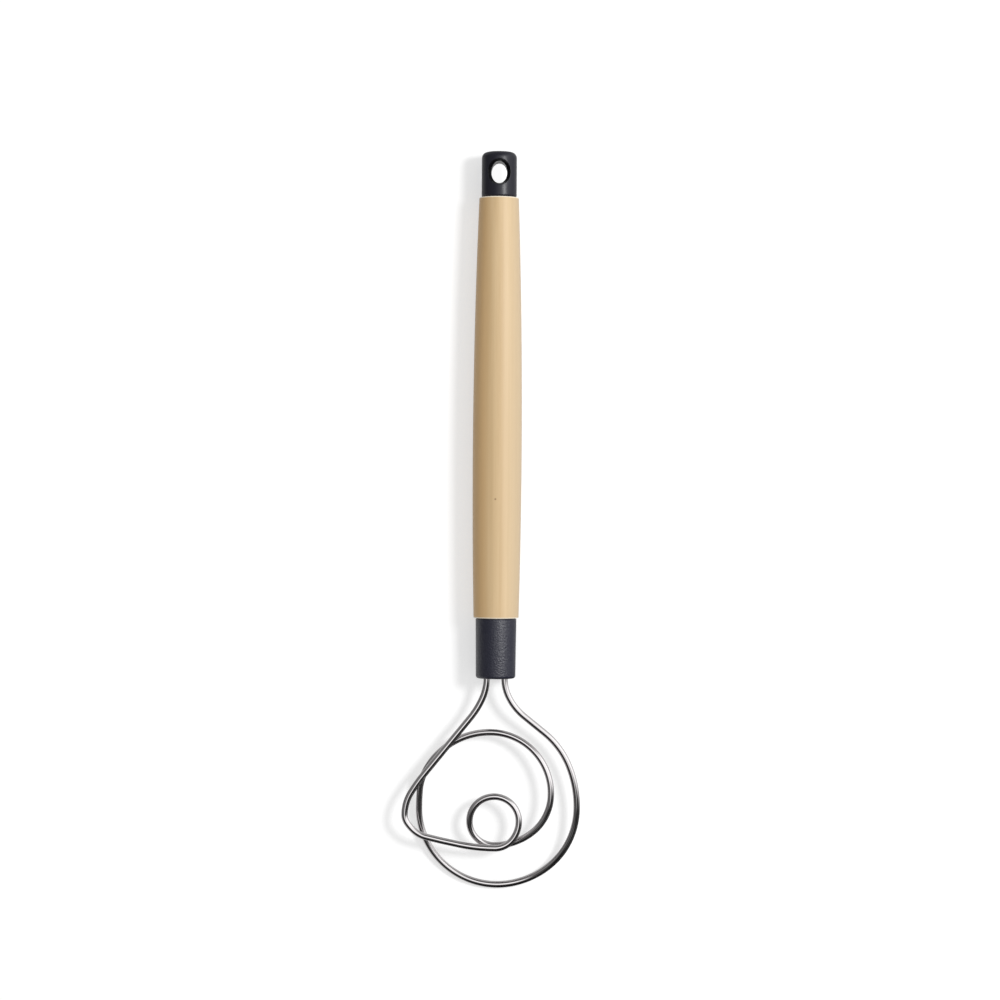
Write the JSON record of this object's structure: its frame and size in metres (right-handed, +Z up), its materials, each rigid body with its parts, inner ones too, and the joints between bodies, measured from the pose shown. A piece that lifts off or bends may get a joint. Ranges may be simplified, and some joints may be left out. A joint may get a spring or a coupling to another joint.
{
  "type": "dough whisk",
  "caption": "Dough whisk: one bent steel wire with nested rings, in a moulded collar on a turned wooden handle with a capped end and a hanging hole.",
  "frame": {"origin": "middle of the outline seen from above, on the table that the whisk lies on", "axes": "+Y along the handle from the wire head to the cap, +Z up from the table, +X to the right as seen from above with the cap at the top"},
  "size_m": [0.0826, 0.3408, 0.0226],
  "materials": {
    "wire": "polished stainless steel wire",
    "collar": "matte charcoal moulded plastic, fine texture",
    "handle": "pale beech, turned and sanded, satin lacquer",
    "cap": "black moulded plastic, soft sheen"
  },
  "bodies": {
    "root": {"wire_head": "wire", "collar": "collar", "handle": "handle", "end_cap": "cap"}
  },
  "joints": []
}
